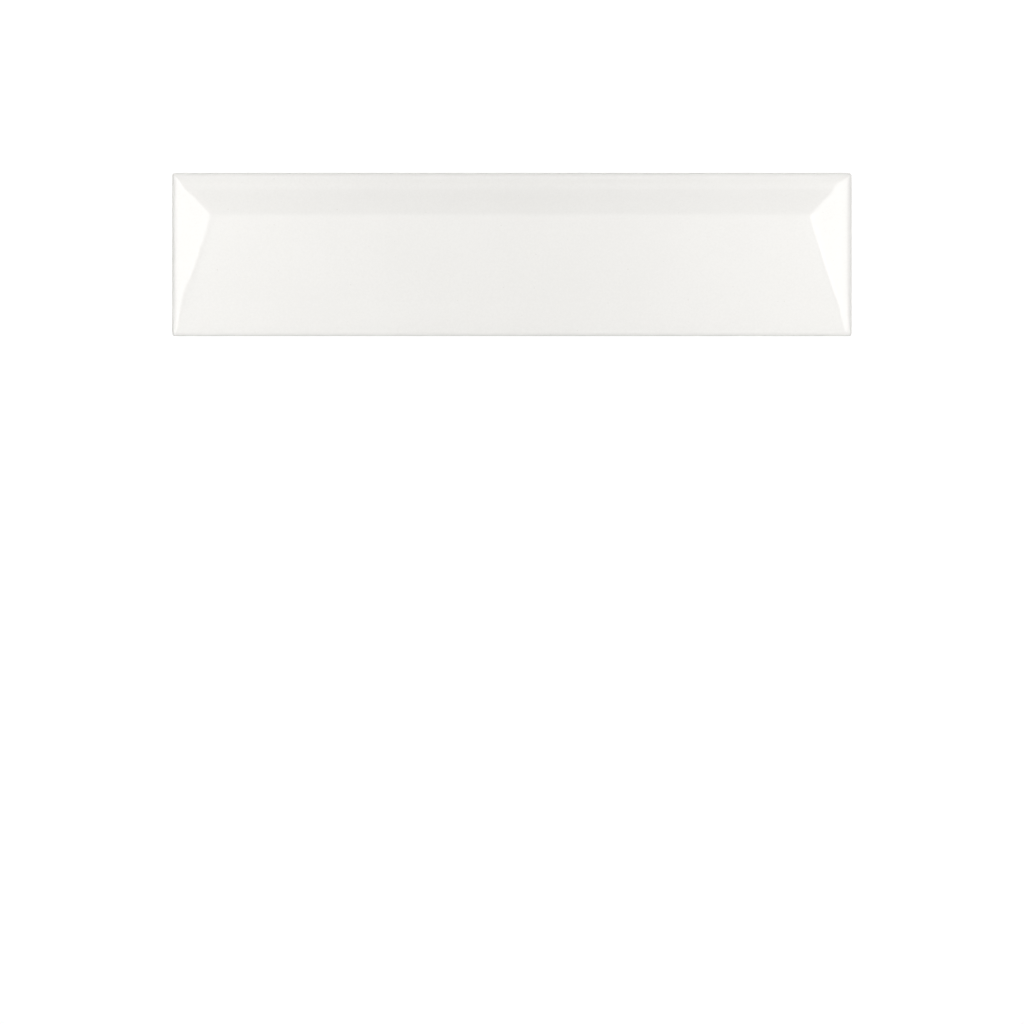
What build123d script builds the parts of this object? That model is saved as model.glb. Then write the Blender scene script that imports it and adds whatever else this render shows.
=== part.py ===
"""Glazed ceramic wall tile, 6 x 25 cm, with an off-centre ridge pressed into its face.

The tile lies on its back with the face up. X runs along the length, Y across the width with the
ridge on the +Y side, and Z out of the wall. The origin is the middle of the back. Millimetres.
"""

import os

from build123d import *

# Format of the tile, and the height of its edges
LENGTH = 250.0
WIDTH = 60.0
RIM_THICKNESS = 6.5

# Relief of the face: four slopes rise from the rim and meet in a ridge and four hips
RIDGE_RISE = 4.5
RIDGE_TO_LONG_EDGE = 16.0
RIDGE_TO_SHORT_EDGE = 15.0
CREST_RADIUS = 4.5

# Rounding of the rim, and how much rounder than it the corners are in plan
RIM_RADIUS = 1.2
CORNER_EASE = 0.1

# Keyed back: shallow drafted pockets between ribs, inside a plain margin
BACK_ARRIS = 0.6
BACK_MARGIN = 5.0
RIB_WIDTH = 2.0
POCKET_ROWS = 3
POCKET_COLUMNS = 14
POCKET_DEPTH = 0.6
POCKET_DRAFT = 30.0
POCKET_CORNER_RADIUS = 2.0

half_length = LENGTH / 2
half_width = WIDTH / 2
ridge_height = RIM_THICKNESS + RIDGE_RISE
blank_height = ridge_height + RIDGE_RISE
corner_radius = RIM_RADIUS + CORNER_EASE


def slope_plane(edge_x, edge_y, run):
    """Plane of one slope of the face, from the middle of a rim edge up to the ridge over its run."""
    outward = Vector(edge_x, edge_y, 0).normalized()
    return Plane(
        origin=(edge_x, edge_y, RIM_THICKNESS),
        z_dir=outward * RIDGE_RISE + Vector(0, 0, run),
    )


def pocket_size(span, count):
    """Side of one pocket, where a row of them with ribs between fills the back inside its margin."""
    return (span - 2 * BACK_MARGIN - (count - 1) * RIB_WIDTH) / count


slopes = [
    slope_plane(0, half_width, RIDGE_TO_LONG_EDGE),
    slope_plane(0, -half_width, WIDTH - RIDGE_TO_LONG_EDGE),
    slope_plane(half_length, 0, RIDGE_TO_SHORT_EDGE),
    slope_plane(-half_length, 0, RIDGE_TO_SHORT_EDGE),
]
pocket_length = pocket_size(LENGTH, POCKET_COLUMNS)
pocket_width = pocket_size(WIDTH, POCKET_ROWS)

with BuildPart() as wall_tile:
    # A blank taller than the ridge, with rounded corners, is cut down to the four slopes
    with BuildSketch(Plane.XY):
        RectangleRounded(LENGTH, WIDTH, corner_radius)
    extrude(amount=blank_height)
    for slope in slopes:
        split(bisect_by=slope, keep=Keep.BOTTOM)

    # The ridge and the hips that reach it are softened together
    ridge = edges().sort_by(Axis.Z)[-1]
    ridge_ends = ridge.vertices()
    crest = edges().filter_by(lambda edge: any(end in edge.vertices() for end in ridge_ends))
    fillet(crest, CREST_RADIUS)

    # The rim runs round the top of the walls, which stand on the edges of the back
    foot = faces().sort_by(Axis.Z)[0].edges()
    walls = faces().filter_by(lambda face: any(edge in foot for edge in face.edges()))
    rim = walls.edges().filter_by(lambda edge: edge not in foot).filter_by(Axis.Z, reverse=True)
    fillet(rim, RIM_RADIUS)

    # The back has its sharp edge taken off and is keyed for the adhesive
    chamfer(faces().sort_by(Axis.Z)[0].edges(), BACK_ARRIS)
    with BuildSketch(Plane.XY):
        with GridLocations(
            pocket_length + RIB_WIDTH, pocket_width + RIB_WIDTH, POCKET_COLUMNS, POCKET_ROWS
        ):
            RectangleRounded(pocket_length, pocket_width, POCKET_CORNER_RADIUS)
    extrude(amount=POCKET_DEPTH, taper=POCKET_DRAFT, mode=Mode.SUBTRACT)

wall_tile.part.label = "wall_tile"
os.makedirs("parts", exist_ok=True)
export_step(wall_tile.part, "parts/wall_tile.step")
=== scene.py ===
import math

import bmesh
import bpy
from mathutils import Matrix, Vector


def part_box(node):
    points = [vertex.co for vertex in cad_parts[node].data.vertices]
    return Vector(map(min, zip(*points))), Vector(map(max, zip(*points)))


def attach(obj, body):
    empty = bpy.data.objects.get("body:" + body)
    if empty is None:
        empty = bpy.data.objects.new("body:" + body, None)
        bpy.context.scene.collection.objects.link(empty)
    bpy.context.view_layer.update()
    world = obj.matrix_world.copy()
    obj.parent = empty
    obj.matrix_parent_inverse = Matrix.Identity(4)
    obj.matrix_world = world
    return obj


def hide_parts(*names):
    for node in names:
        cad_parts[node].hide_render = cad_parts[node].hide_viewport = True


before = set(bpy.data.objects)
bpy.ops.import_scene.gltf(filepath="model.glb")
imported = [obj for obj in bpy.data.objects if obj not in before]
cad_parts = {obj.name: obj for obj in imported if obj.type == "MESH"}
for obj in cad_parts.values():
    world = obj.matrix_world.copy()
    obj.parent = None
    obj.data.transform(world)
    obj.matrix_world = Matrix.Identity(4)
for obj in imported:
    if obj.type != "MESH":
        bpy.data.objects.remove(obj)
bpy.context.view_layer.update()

# The tile
# One piece of pale clay dust, pressed in a steel die that leaves a ridge and four hips on the face and
# a grid of pockets on the back. It is glazed from above and fired, so the lower edges and back stay bare.
MM = 0.001
tile_low, tile_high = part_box("wall_tile")
half_length = (tile_high.x - tile_low.x) / 2
half_width = (tile_high.y - tile_low.y) / 2

# Relief of the face, as the die gives it
RIM_HEIGHT = 6.5 * MM
RIDGE_RISE = 4.5 * MM
RIDGE_TO_LONG_EDGE = 16 * MM
RIDGE_TO_SHORT_EDGE = 15 * MM
CORNER_RADIUS = 1.0 * MM
RIM_RUN = 2.6 * MM
RIM_DROP = 1.1 * MM

# Softening by the glaze: blended crests, slow waves, and a swell that is full up to one distance from its
# edge and gone at another. Near is the long edge beside the ridge, Far the other one, and End both ends.
RIDGE_BLEND = 0.6 * MM
HIP_BLEND = 1.1 * MM
SWELLS = {
    "Near": {"Height": 0.26 * MM, "Full": 3.0 * MM, "Gone": 6.7 * MM},
    "Far": {"Height": 0.26 * MM, "Full": 6.0 * MM, "Gone": 13.4 * MM},
    "End": {"Height": 0.16 * MM, "Full": 3.0 * MM, "Gone": 6.9 * MM},
}
WAVE_HEIGHT = 0.02 * MM
WAVES_PER_METRE = 60.0

# Bare edge below the glaze, and the keyed back
GLAZE_LINE = 2.6 * MM
GLAZE_RAGGED = 1.6 * MM
GLAZE_LIP = 0.35 * MM
GLAZE_THICKNESS = 0.15 * MM
RAGS_PER_METRE = 45.0
BACK_ARRIS = 0.6 * MM
BACK_MARGIN = 5.0 * MM
RIB_WIDTH = 2.0 * MM
POCKET_ROWS = 3
POCKET_COLUMNS = 14
POCKET_DEPTH = 0.6 * MM
POCKET_WALL = 0.5 * MM
POCKET_CORNER = 2.0 * MM

# Spacing of the lines that the blank is drawn with, and how near to a line counts as on it
RIM_STEPS = 8
FINE_ZONE = 17.5 * MM
FINE_STEP = 0.38 * MM
WIDE_STEP = 2.4 * MM
WALL_ROWS = 14
POCKET_WALL_STEPS = 4
POCKET_CORNER_STEPS = 3
POCKET_STEP = 4.0 * MM
ON_LINE = 0.001 * MM

edge_height = RIM_HEIGHT + SWELLS["Near"]["Height"] - RIM_DROP


def spread(start, end, step):
    """Lines from start up to, but without, end, evenly apart and no further than step."""
    count = math.ceil((end - start) / step)
    return [start + (end - start) * k / count for k in range(count)]


def face_lines(half, middle_step):
    """Lines across the face: along the arc of the rim, close where the relief is, wider in the middle."""
    rim = [RIM_RUN * (1 - math.cos(math.pi / 2 * k / RIM_STEPS)) for k in range(RIM_STEPS)]
    near = rim + spread(RIM_RUN, FINE_ZONE, FINE_STEP)
    middle = spread(FINE_ZONE - half, half - FINE_ZONE, middle_step) + [half - FINE_ZONE]
    return [inset - half for inset in near] + middle + [half - inset for inset in reversed(near)]


def pocket_side(half, count):
    """Side of one pocket, where a row of them with ribs between fills the back inside its margin."""
    return (2 * half - 2 * BACK_MARGIN - (count - 1) * RIB_WIDTH) / count


def back_lines(half, count):
    """Lines across the back: on the walls and round corners of each pocket, and wider on its floor."""
    side = pocket_side(half, count)
    wall = spread(0, POCKET_WALL, POCKET_WALL / POCKET_WALL_STEPS)
    corner = spread(POCKET_WALL, POCKET_CORNER, (POCKET_CORNER - POCKET_WALL) / POCKET_CORNER_STEPS)
    near = wall + corner
    floor = spread(POCKET_CORNER, side - POCKET_CORNER, POCKET_STEP) + [side - POCKET_CORNER]
    across = near + floor + [side - inset for inset in reversed(near)]
    lines = [BACK_ARRIS - half]
    for number in range(count):
        start = BACK_MARGIN - half + number * (side + RIB_WIDTH)
        lines += [start + inset for inset in across]
    return lines + [half - BACK_ARRIS]


def rounded(x, y, half_x, half_y, radius):
    """A point of a square-cornered sheet, pulled in so that the corner has this radius."""
    over_x = abs(x) - half_x + radius
    over_y = abs(y) - half_y + radius
    if min(over_x, over_y) <= 0:
        return x, y
    share = max(over_x, over_y) / math.hypot(over_x, over_y)
    return (
        math.copysign(half_x - radius + over_x * share, x),
        math.copysign(half_y - radius + over_y * share, y),
    )


def face_point(x, y):
    """Place of a point of the face on the flat blank."""
    return (*rounded(x, y, half_length, half_width, CORNER_RADIUS), RIM_HEIGHT)


def from_centre(value, half, count):
    """Distance of a point from the middle of its pocket, and where that middle is, along one axis."""
    pitch = pocket_side(half, count) + RIB_WIDTH
    field = count * pitch / 2
    number = min(max(math.floor((value + field) / pitch), 0), count - 1)
    middle = (number + 0.5) * pitch - field
    return value - middle, middle


def back_point(x, y):
    """Place of a point of the back on the flat blank, with round corners on the pockets and the sheet."""
    along, middle_x = from_centre(x, half_length, POCKET_COLUMNS)
    across, middle_y = from_centre(y, half_width, POCKET_ROWS)
    half_x = pocket_side(half_length, POCKET_COLUMNS) / 2
    half_y = pocket_side(half_width, POCKET_ROWS) / 2
    if abs(along) <= half_x + ON_LINE and abs(across) <= half_y + ON_LINE:
        along, across = rounded(along, across, half_x, half_y, POCKET_CORNER)
    x, y = rounded(
        middle_x + along,
        middle_y + across,
        half_length - BACK_ARRIS,
        half_width - BACK_ARRIS,
        CORNER_RADIUS,
    )
    return (x, y, 0)


def add_sheet(mesh, xs, ys, place):
    """A sheet of faces between the lines, as columns of points."""
    columns = [[mesh.verts.new(place(x, y)) for y in ys] for x in xs]
    for left, right in zip(columns, columns[1:]):
        for j in range(len(ys) - 1):
            mesh.faces.new((left[j], right[j], right[j + 1], left[j + 1]))
    return columns


def outline(columns):
    """The points round a sheet, in order."""
    near = [column[0] for column in columns[:-1]]
    far = [column[-1] for column in columns[:0:-1]]
    return near + columns[-1][:-1] + far + columns[0][:0:-1]


def edges_of(mesh, loop):
    """The edges of a closed loop of points."""
    return [mesh.edges.get((a, b)) for a, b in zip(loop, loop[1:] + loop[:1])]


# A flat blank: a face, upright walls in rows, and a back that the walls' foot is bridged to
blank = bmesh.new()
face = add_sheet(
    blank, face_lines(half_length, WIDE_STEP), face_lines(half_width, FINE_STEP), face_point
)
back = add_sheet(
    blank,
    back_lines(half_length, POCKET_COLUMNS),
    back_lines(half_width, POCKET_ROWS),
    back_point,
)
row = outline(face)
foot_share = BACK_ARRIS / edge_height
for number in range(1, WALL_ROWS + 1):
    share = 1 + (foot_share - 1) * number / WALL_ROWS
    lower = [blank.verts.new((point.co.x, point.co.y, share * RIM_HEIGHT)) for point in row]
    for k in range(len(row)):
        blank.faces.new((row[k - 1], row[k], lower[k], lower[k - 1]))
    row = lower
bmesh.ops.bridge_loops(blank, edges=edges_of(blank, row) + edges_of(blank, outline(back)))
bmesh.ops.recalc_face_normals(blank, faces=blank.faces)
for polygon in blank.faces:
    polygon.smooth = True
tile_mesh = bpy.data.meshes.new("fired_tile")
blank.to_mesh(tile_mesh)
blank.free()
tile = bpy.data.objects.new("fired_tile", tile_mesh)
bpy.context.scene.collection.objects.link(tile)


class Measure:
    """A number that a node tree works out at each point, so that its sums read as sums."""

    def __init__(self, socket):
        self.socket = socket
        self.tree = socket.id_data

    def math(self, operation, *others, swap=False):
        node = self.tree.nodes.new("ShaderNodeMath")
        node.operation = operation
        terms = [*others, self] if swap else [self, *others]
        for socket, term in zip(node.inputs, terms):
            give(self.tree, socket, term)
        return Measure(node.outputs[0])

    def __add__(self, other):
        return self.math("ADD", other)

    def __sub__(self, other):
        return self.math("SUBTRACT", other)

    def __rsub__(self, other):
        return self.math("SUBTRACT", other, swap=True)

    def __mul__(self, other):
        return self.math("MULTIPLY", other)

    def __truediv__(self, other):
        return self.math("DIVIDE", other)

    def __abs__(self):
        return self.math("ABSOLUTE")

    def least(self, other):
        return self.math("MINIMUM", other)

    def most(self, other):
        return self.math("MAXIMUM", other)

    def blend_least(self, other, blend):
        return self.math("SMOOTH_MIN", other, blend)

    def power(self, exponent):
        return self.math("POWER", exponent)

    def ease(self, start, end):
        """0 below start, 1 above end, and an S-curve between them."""
        node = self.tree.nodes.new("ShaderNodeMapRange")
        node.interpolation_type = "SMOOTHSTEP"
        for name, term in (("Value", self), ("From Min", start), ("From Max", end)):
            give(self.tree, node.inputs[name], term)
        return Measure(node.outputs["Result"])


def give(tree, socket, term):
    """Set a socket to a number or to another node's output."""
    if isinstance(term, Measure):
        tree.links.new(term.socket, socket)
    else:
        socket.default_value = term


def noise_at(tree, place, per_metre, detail=0.0):
    """Smooth noise from 0 to 1 about this many times a metre."""
    node = tree.nodes.new("ShaderNodeTexNoise")
    node.inputs["Scale"].default_value = per_metre
    node.inputs["Detail"].default_value = detail
    tree.links.new(place, node.inputs["Vector"])
    return Measure(node.outputs["Fac"])


def inside_corner(x, y, half_x, half_y, radius):
    """Distance in from the outline of a rectangle with round corners."""
    over_x = abs(x) - (half_x - radius)
    over_y = abs(y) - (half_y - radius)
    round_part = (over_x.most(0).power(2) + over_y.most(0).power(2)).math("SQRT")
    return radius - round_part - over_x.most(over_y).least(0)


# The press: a tree that takes the flat blank and lifts its face, sets back its bare edge and keys its back.
# BACK_SHARE tells the back from the walls, and JUST_INSIDE keeps the far margin with the last pocket.
BACK_SHARE = 0.001
JUST_INSIDE = 0.999999
press = bpy.data.node_groups.new("tile_press", "GeometryNodeTree")
press.is_modifier = True
press.interface.new_socket("Blank", in_out="INPUT", socket_type="NodeSocketGeometry")
PRESS_SIZES = {
    "Half Length": half_length,
    "Half Width": half_width,
    "Rim Height": RIM_HEIGHT,
    "Ridge Rise": RIDGE_RISE,
    "Ridge To Long Edge": RIDGE_TO_LONG_EDGE,
    "Ridge To Short Edge": RIDGE_TO_SHORT_EDGE,
    "Corner Radius": CORNER_RADIUS,
    "Rim Run": RIM_RUN,
    "Rim Drop": RIM_DROP,
    "Ridge Blend": RIDGE_BLEND,
    "Hip Blend": HIP_BLEND,
    "Wave Height": WAVE_HEIGHT,
    "Glaze Line": GLAZE_LINE,
    "Glaze Ragged": GLAZE_RAGGED,
    "Glaze Lip": GLAZE_LIP,
    "Glaze Thickness": GLAZE_THICKNESS,
    "Pocket Length": pocket_side(half_length, POCKET_COLUMNS),
    "Pocket Width": pocket_side(half_width, POCKET_ROWS),
    "Pocket Columns": float(POCKET_COLUMNS),
    "Pocket Rows": float(POCKET_ROWS),
    "Pocket Corner": POCKET_CORNER,
    "Pocket Wall": POCKET_WALL,
    "Pocket Depth": POCKET_DEPTH,
    "Rib Width": RIB_WIDTH,
}
for edge, swell in SWELLS.items():
    PRESS_SIZES.update({f"{edge} Swell {part}": value for part, value in swell.items()})
for name in PRESS_SIZES:
    press.interface.new_socket(name, in_out="INPUT", socket_type="NodeSocketFloat")
press.interface.new_socket("Finish", in_out="INPUT", socket_type="NodeSocketMaterial")
press.interface.new_socket("Tile", in_out="OUTPUT", socket_type="NodeSocketGeometry")
press_in = press.nodes.new("NodeGroupInput")
press_out = press.nodes.new("NodeGroupOutput")
size = {name: Measure(press_in.outputs[name]) for name in PRESS_SIZES}
place = press.nodes.new("GeometryNodeInputPosition").outputs["Position"]
apart = press.nodes.new("ShaderNodeSeparateXYZ")
press.links.new(place, apart.inputs["Vector"])
x, y, z = (Measure(output) for output in apart.outputs)


def slope_rise(inset, run, edge):
    """Height above the rim that one slope of the face gives, with the swell along its edge."""
    swell = 1 - inset.ease(size[f"{edge} Swell Full"], size[f"{edge} Swell Gone"])
    return inset * size["Ridge Rise"] / run + swell * size[f"{edge} Swell Height"]


short_run = size["Ridge To Long Edge"]
long_run = size["Half Width"] * 2 - short_run
end_run = size["Ridge To Short Edge"]
near_slope = slope_rise(size["Half Width"] - y, short_run, "Near")
far_slope = slope_rise(size["Half Width"] + y, long_run, "Far")
end_slopes = slope_rise(size["Half Length"] - abs(x), end_run, "End")
roof = near_slope.blend_least(far_slope, size["Ridge Blend"])
roof = roof.blend_least(end_slopes, size["Hip Blend"])
rim_inset = inside_corner(x, y, size["Half Length"], size["Half Width"], size["Corner Radius"])
in_rim = (1 - rim_inset / size["Rim Run"]).most(0).least(1)
rim_fall = (1 - (1 - in_rim.power(2)).math("SQRT")) * size["Rim Drop"]
waves = noise_at(press, place, WAVES_PER_METRE) * size["Wave Height"]
face_height = size["Rim Height"] + roof - rim_fall - waves
share_up = z / size["Rim Height"]


def from_pocket_middle(value, side, count):
    """Distance from the middle of the pocket that a point of the back is in, along one axis."""
    pitch = side + size["Rib Width"]
    field = pitch * count / 2
    held = value.most(0 - field).least(field * JUST_INSIDE)
    return (held + field).math("FLOORED_MODULO", pitch) - pitch / 2


pocket_x = from_pocket_middle(x, size["Pocket Length"], size["Pocket Columns"])
pocket_y = from_pocket_middle(y, size["Pocket Width"], size["Pocket Rows"])
pocket_inset = inside_corner(
    pocket_x, pocket_y, size["Pocket Length"] / 2, size["Pocket Width"] / 2, size["Pocket Corner"]
)
pocket = pocket_inset.ease(0, size["Pocket Wall"]) * size["Pocket Depth"]
on_back = share_up.math("LESS_THAN", BACK_SHARE)
height = share_up * face_height + pocket * on_back

pressed = press.nodes.new("GeometryNodeSetPosition")
new_place = press.nodes.new("ShaderNodeCombineXYZ")
for axis, term in (("X", x), ("Y", y), ("Z", height)):
    give(press, new_place.inputs[axis], term)
press.links.new(press_in.outputs["Blank"], pressed.inputs["Geometry"])
press.links.new(new_place.outputs["Vector"], pressed.inputs["Position"])

# The glaze runs down the walls to a ragged line and stands a little proud of the bare clay below it
ragged = (noise_at(press, place, RAGS_PER_METRE, detail=2.0) - 0.5) * size["Glaze Ragged"]
line = size["Glaze Line"] + ragged
glazed = height.ease(line - size["Glaze Lip"] / 2, line + size["Glaze Lip"] / 2) * (1 - on_back)
keep_cover = press.nodes.new("GeometryNodeStoreNamedAttribute")
keep_cover.data_type = "FLOAT"
keep_cover.domain = "POINT"
keep_cover.inputs["Name"].default_value = "glaze_cover"
press.links.new(pressed.outputs["Geometry"], keep_cover.inputs["Geometry"])
give(press, keep_cover.inputs["Value"], glazed)

cover = press.nodes.new("GeometryNodeInputNamedAttribute")
cover.data_type = "FLOAT"
cover.inputs["Name"].default_value = "glaze_cover"
bare = 1 - Measure(cover.outputs["Attribute"])
outward = press.nodes.new("ShaderNodeSeparateXYZ")
normal = press.nodes.new("GeometryNodeInputNormal")
press.links.new(normal.outputs["Normal"], outward.inputs["Vector"])
set_back = bare * size["Glaze Thickness"] * -1
offset = press.nodes.new("ShaderNodeCombineXYZ")
for axis in ("X", "Y"):
    give(press, offset.inputs[axis], set_back * Measure(outward.outputs[axis]))
bared = press.nodes.new("GeometryNodeSetPosition")
press.links.new(keep_cover.outputs["Geometry"], bared.inputs["Geometry"])
press.links.new(offset.outputs["Vector"], bared.inputs["Offset"])
realized = press.nodes.new("GeometryNodeRealizeInstances")
finished = press.nodes.new("GeometryNodeSetMaterial")
press.links.new(bared.outputs["Geometry"], realized.inputs["Geometry"])
press.links.new(realized.outputs["Geometry"], finished.inputs["Geometry"])
press.links.new(press_in.outputs["Finish"], finished.inputs["Material"])
press.links.new(finished.outputs["Geometry"], press_out.inputs["Tile"])

# Gloss white glaze, faintly mottled and with fine specks and pinholes, over a pale porous clay
GLAZE_COLOUR = (0.855, 0.845, 0.820, 1)
GLAZE_SHADE = (0.840, 0.830, 0.805, 1)
SPECK_COLOUR = (0.75, 0.735, 0.705, 1)
CLAY_COLOUR = (0.76, 0.68, 0.57, 1)
CLAY_SHADE = (0.66, 0.56, 0.45, 1)
WASH_COLOUR = (0.80, 0.77, 0.71, 1)
MOTTLES_PER_METRE = 60.0
MOTTLE_SHARE = 0.25
FLECKS_PER_METRE = 1200.0
TONE_SPREAD = (0.35, 0.65)
SPECKS_PER_METRE = 180.0
SPECK_SHARE = 0.8
SPECK_LEAST = 0.1
SPECK_CORE = 0.4
SPECK_RADIUS = 0.32 * MM
PEEL_PER_METRE = 420.0
PEEL_HEIGHT = 0.0012 * MM
PIT_DEPTH = 0.01 * MM
GRAINS_PER_METRE = 1500.0
GRAIN_HEIGHT = 0.05 * MM
GRAIN_SHARE = 0.6
BLOTCHES_PER_METRE = 130.0
CLAY_SPREAD = (0.36, 0.66)
FRAYS_PER_METRE = 900.0
FRAY = 0.5
COVER_EDGE = (0.42, 0.58)
GLAZE_IOR = 1.5
GLAZE_ROUGHNESS = 0.025
GLAZE_HAZE = 0.02
CLAY_ROUGHNESS = 0.88
WASH_HEIGHT = 0.12 * MM
WASH_SPREAD = (0.4, 0.6)


def blend_colour(tree, share, low, high):
    """A colour between two others, each given as a colour or as a node's output."""
    node = tree.nodes.new("ShaderNodeMix")
    node.data_type = "RGBA"
    give(tree, node.inputs["Factor"], share)
    for name, colour in (("A", low), ("B", high)):
        socket = next(item for item in node.inputs if item.name == name and item.type == "RGBA")
        if isinstance(colour, tuple):
            socket.default_value = colour
        else:
            tree.links.new(colour, socket)
    return next(item for item in node.outputs if item.type == "RGBA")


finish = bpy.data.materials.new("white_gloss_glaze_on_clay")
finish.use_nodes = True
shade = finish.node_tree
shader = shade.nodes["Principled BSDF"]
shader.inputs["IOR"].default_value = GLAZE_IOR
spot = shade.nodes.new("ShaderNodeTexCoord").outputs["Object"]
cover_read = shade.nodes.new("ShaderNodeAttribute")
cover_read.attribute_name = "glaze_cover"
fray = (noise_at(shade, spot, FRAYS_PER_METRE, detail=2.0) - 0.5) * FRAY
covered = (Measure(cover_read.outputs["Fac"]) + fray).ease(*COVER_EDGE)

# Specks stand in most cells of a plan pattern, a few of them large and the rest small
cells = shade.nodes.new("ShaderNodeTexVoronoi")
cells.voronoi_dimensions = "2D"
cells.inputs["Scale"].default_value = SPECKS_PER_METRE
shade.links.new(spot, cells.inputs["Vector"])
cell_draw = shade.nodes.new("ShaderNodeSeparateColor")
shade.links.new(cells.outputs["Color"], cell_draw.inputs["Color"])
chosen, first_draw, second_draw = (Measure(output) for output in cell_draw.outputs)
speck_reach = (first_draw * second_draw).most(SPECK_LEAST) * (SPECKS_PER_METRE * SPECK_RADIUS)
off_speck = (Measure(cells.outputs["Distance"]) / speck_reach).ease(SPECK_CORE, 1)
speck = (1 - off_speck) * chosen.math("LESS_THAN", SPECK_SHARE)

# Glaze: slow mottling, fine flecks and specks
mottle = noise_at(shade, spot, MOTTLES_PER_METRE)
fleck = noise_at(shade, spot, FLECKS_PER_METRE, detail=1.0)
tone = fleck * (1 - MOTTLE_SHARE) + mottle * MOTTLE_SHARE
glaze = blend_colour(shade, tone.ease(*TONE_SPREAD), GLAZE_COLOUR, GLAZE_SHADE)
glaze = blend_colour(shade, speck, glaze, SPECK_COLOUR)

# Clay: grain, darker blotches, and a pale wash where the ribs of the back stood on the kiln belt
grain = noise_at(shade, spot, GRAINS_PER_METRE, detail=3.0)
blotch = noise_at(shade, spot, BLOTCHES_PER_METRE, detail=3.0)
clay_tone = grain * GRAIN_SHARE + blotch * (1 - GRAIN_SHARE)
clay = blend_colour(shade, clay_tone.ease(*CLAY_SPREAD), CLAY_SHADE, CLAY_COLOUR)
spot_apart = shade.nodes.new("ShaderNodeSeparateXYZ")
shade.links.new(spot, spot_apart.inputs["Vector"])
low_down = 1 - Measure(spot_apart.outputs["Z"]).ease(0, WASH_HEIGHT)
clay = blend_colour(shade, low_down * blotch.ease(*WASH_SPREAD), clay, WASH_COLOUR)
shade.links.new(blend_colour(shade, covered, clay, glaze), shader.inputs["Base Color"])

# Gloss and relief of the two, with the heights in metres
haze = noise_at(shade, spot, MOTTLES_PER_METRE, detail=2.0) * GLAZE_HAZE + GLAZE_ROUGHNESS
give(shade, shader.inputs["Roughness"], covered * (haze - CLAY_ROUGHNESS) + CLAY_ROUGHNESS)
peel = noise_at(shade, spot, PEEL_PER_METRE, detail=1.0) * PEEL_HEIGHT - speck * PIT_DEPTH
relief = covered * (peel - grain * GRAIN_HEIGHT) + grain * GRAIN_HEIGHT
bump = shade.nodes.new("ShaderNodeBump")
bump.inputs["Distance"].default_value = 1.0
give(shade, bump.inputs["Height"], relief)
shade.links.new(bump.outputs["Normal"], shader.inputs["Normal"])

# The blank is pressed with these sizes and this finish, and becomes a plain mesh
pressing = tile.modifiers.new("press", "NODES")
pressing.node_group = press
for item in press.interface.items_tree:
    if item.in_out == "INPUT" and item.name in PRESS_SIZES:
        pressing[item.identifier] = PRESS_SIZES[item.name]
    if item.name == "Finish":
        pressing[item.identifier] = finish
evaluated = tile.evaluated_get(bpy.context.evaluated_depsgraph_get())
tile.data = bpy.data.meshes.new_from_object(evaluated)
tile.data.name = "fired_tile"
tile.modifiers.clear()
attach(tile, "root")
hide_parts("wall_tile")

# The floor
# A wide sheet of matt white card that the tile lies on, lit from above. To the camera and in the gloss it
# is plain white but for the tile's shadow, and the light that it throws back is that of real card.
FLOOR_HALF = 4.0
FLOOR_DROP = 0.05 * MM
CARD_ALBEDO = 0.7
CARD_SHOWN = 0.3
CARD_LIFT = 0.85
floor_mesh = bpy.data.meshes.new("card")
floor_corners = [
    (side_x * FLOOR_HALF, side_y * FLOOR_HALF, -FLOOR_DROP)
    for side_x, side_y in ((-1, -1), (1, -1), (1, 1), (-1, 1))
]
floor_mesh.from_pydata(floor_corners, [], [(0, 1, 2, 3)])
floor = bpy.data.objects.new("card", floor_mesh)
bpy.context.scene.collection.objects.link(floor)


def seen_directly(tree):
    """1 for a ray from the camera, a gloss or a glass, and 0 for one that only carries light."""
    path = tree.nodes.new("ShaderNodeLightPath")
    from_camera = Measure(path.outputs["Is Camera Ray"])
    from_gloss = Measure(path.outputs["Is Glossy Ray"])
    from_glass = Measure(path.outputs["Is Transmission Ray"])
    return from_camera.most(from_gloss).most(from_glass)


card = bpy.data.materials.new("white_card")
card.use_nodes = True
card_tree = card.node_tree
card_tree.nodes.clear()
card_out = card_tree.nodes.new("ShaderNodeOutputMaterial")
lit_card = card_tree.nodes.new("ShaderNodeBsdfDiffuse")
lit_card.inputs["Color"].default_value = (CARD_ALBEDO, CARD_ALBEDO, CARD_ALBEDO, 1)
shown_card = card_tree.nodes.new("ShaderNodeBsdfDiffuse")
shown_card.inputs["Color"].default_value = (CARD_SHOWN, CARD_SHOWN, CARD_SHOWN, 1)
lift = card_tree.nodes.new("ShaderNodeEmission")
lift.inputs["Strength"].default_value = CARD_LIFT
white = card_tree.nodes.new("ShaderNodeAddShader")
choose = card_tree.nodes.new("ShaderNodeMixShader")
card_tree.links.new(shown_card.outputs["BSDF"], white.inputs[0])
card_tree.links.new(lift.outputs["Emission"], white.inputs[1])
give(card_tree, choose.inputs["Fac"], seen_directly(card_tree))
card_tree.links.new(lit_card.outputs["BSDF"], choose.inputs[1])
card_tree.links.new(white.outputs["Shader"], choose.inputs[2])
card_tree.links.new(choose.outputs["Shader"], card_out.inputs["Surface"])
floor.data.materials.append(card)

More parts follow.
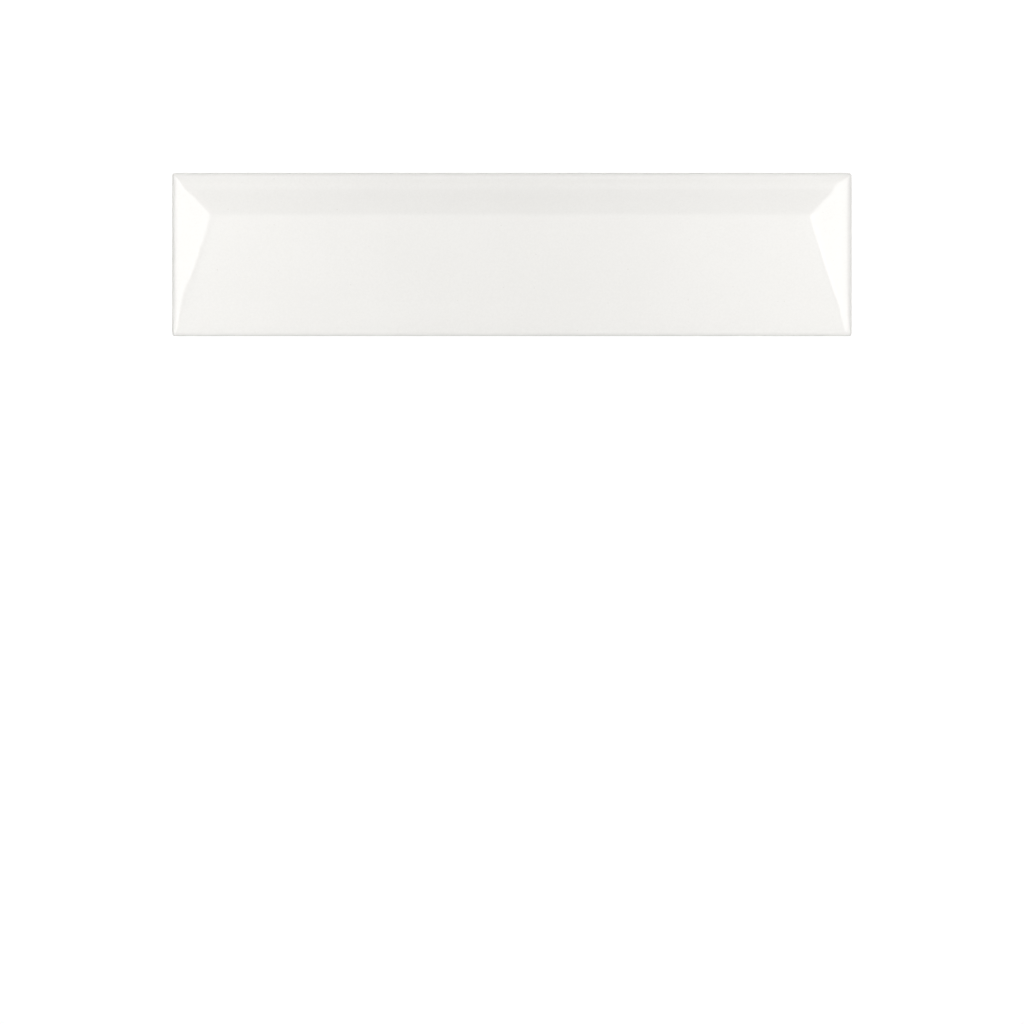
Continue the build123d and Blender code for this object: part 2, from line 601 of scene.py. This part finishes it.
# The light
# Two overhead panels light the tile, one above each end. Its gloss shows a pale ceiling instead, a soft
# box beside each edge, a weaker one low on the right, and a white room that is greyer near the floor.
ROOM_FILL = 0.25
ROOM_LOW = 0.35
ROOM_WHITE_UP = 0.75
PANEL_RADIANCE = 4.17
PANEL_REACH = 0.175
PANEL_HEIGHT = 0.26
PANEL_LENGTH = 0.12
PANEL_WIDTH = 0.4
CEILING_RADIANCE = 0.5
CEILING_HEIGHT = 0.6
CEILING_SHIFT = 0.06
CEILING_LENGTH = 0.4
CEILING_WIDTH = 0.62
BOX_DISTANCE = 0.35
END_BOX_LENGTH = 0.36
END_BOX_RADIANCE = 3.2
SIDE_BOX_LENGTH = 0.4
SIDE_BOX_RADIANCE = 1.15
BACK_BOX_RADIANCE = 1.6

# Where each soft box starts and ends, in degrees from upright
LEFT_BOX = (22, 66)
RIGHT_BOX = (10, 53)
RIGHT_LOW_BOX = (53, 80)
BACK_BOX = (38, 84)
FRONT_BOX = (20, 84)

room = bpy.data.worlds.new("white_room")
bpy.context.scene.world = room
room.use_nodes = True
room_tree = room.node_tree
room_spot = room_tree.nodes.new("ShaderNodeTexCoord")
room_way = room_tree.nodes.new("ShaderNodeSeparateXYZ")
room_tree.links.new(room_spot.outputs["Generated"], room_way.inputs["Vector"])
wall_tone = Measure(room_way.outputs["Z"]).ease(0, ROOM_WHITE_UP) * (1 - ROOM_LOW) + ROOM_LOW
background = room_tree.nodes["Background"]
background.inputs["Color"].default_value = (1, 1, 1, 1)
room_tone = seen_directly(room_tree) * (wall_tone - ROOM_FILL) + ROOM_FILL
give(room_tree, background.inputs["Strength"], room_tone)


def flat_lamp(name, place, turn, length, width, radiance):
    """A rectangular lamp that shines down before it is turned, and stays out of the picture."""
    light = bpy.data.lights.new(name, "AREA")
    light.shape = "RECTANGLE"
    light.size = length
    light.size_y = width
    light.energy = radiance * math.pi * length * width
    lamp = bpy.data.objects.new(name, light)
    lamp.location = place
    lamp.rotation_euler = turn
    lamp.visible_camera = False
    bpy.context.scene.collection.objects.link(lamp)
    return lamp


def soft_box(name, heading, start, angles, length, radiance):
    """A lamp that only the gloss shows, between two angles from upright as seen from its start."""
    inner, outer = (math.radians(angle) for angle in angles)
    lean = (inner + outer) / 2
    turn = math.radians(heading)
    reach = start + BOX_DISTANCE * math.sin(lean)
    height = RIM_HEIGHT + BOX_DISTANCE * math.cos(lean)
    place = (reach * math.cos(turn), reach * math.sin(turn), height)
    breadth = 2 * BOX_DISTANCE * math.tan((outer - inner) / 2)
    box = flat_lamp(name, place, (0, lean, turn), breadth, length, radiance)
    box.visible_diffuse = False


for name, side in (("left_panel", -1), ("right_panel", 1)):
    panel_place = (side * PANEL_REACH, 0, PANEL_HEIGHT)
    panel = flat_lamp(name, panel_place, (0, 0, 0), PANEL_LENGTH, PANEL_WIDTH, PANEL_RADIANCE)
    panel.visible_glossy = False
ceiling = flat_lamp(
    "ceiling",
    (0, CEILING_SHIFT, CEILING_HEIGHT),
    (0, 0, 0),
    CEILING_LENGTH,
    CEILING_WIDTH,
    CEILING_RADIANCE,
)
ceiling.visible_diffuse = False
end_slope = half_length - RIDGE_TO_SHORT_EDGE / 2
soft_box("right_soft_box", 0, end_slope, RIGHT_BOX, END_BOX_LENGTH, END_BOX_RADIANCE)
soft_box("right_low_box", 0, end_slope, RIGHT_LOW_BOX, END_BOX_LENGTH, SIDE_BOX_RADIANCE)
soft_box("back_soft_box", 90, half_width, BACK_BOX, SIDE_BOX_LENGTH, BACK_BOX_RADIANCE)
soft_box("left_soft_box", 180, end_slope, LEFT_BOX, END_BOX_LENGTH, END_BOX_RADIANCE)
soft_box("front_soft_box", 270, half_width, FRONT_BOX, SIDE_BOX_LENGTH, SIDE_BOX_RADIANCE)

# The camera
# It looks straight down from well above through a long lens. The tile is as large, and as far up the
# picture, as in the photograph.
LENS = 200.0
PICTURE = 1024
TILE_WIDTH_PX = 680.0
TILE_MIDDLE_PX = (511.9, 254.4)
camera_data = bpy.data.cameras.new("camera")
camera_data.lens = LENS
camera = bpy.data.objects.new("camera", camera_data)
per_pixel = 2 * half_length / TILE_WIDTH_PX
distance = PICTURE * per_pixel * LENS / camera_data.sensor_width
camera.location = (
    (PICTURE / 2 - TILE_MIDDLE_PX[0]) * per_pixel,
    (TILE_MIDDLE_PX[1] - PICTURE / 2) * per_pixel,
    RIM_HEIGHT + distance,
)
bpy.context.scene.collection.objects.link(camera)
bpy.context.scene.camera = camera
bpy.context.scene.view_settings.view_transform = "Standard"
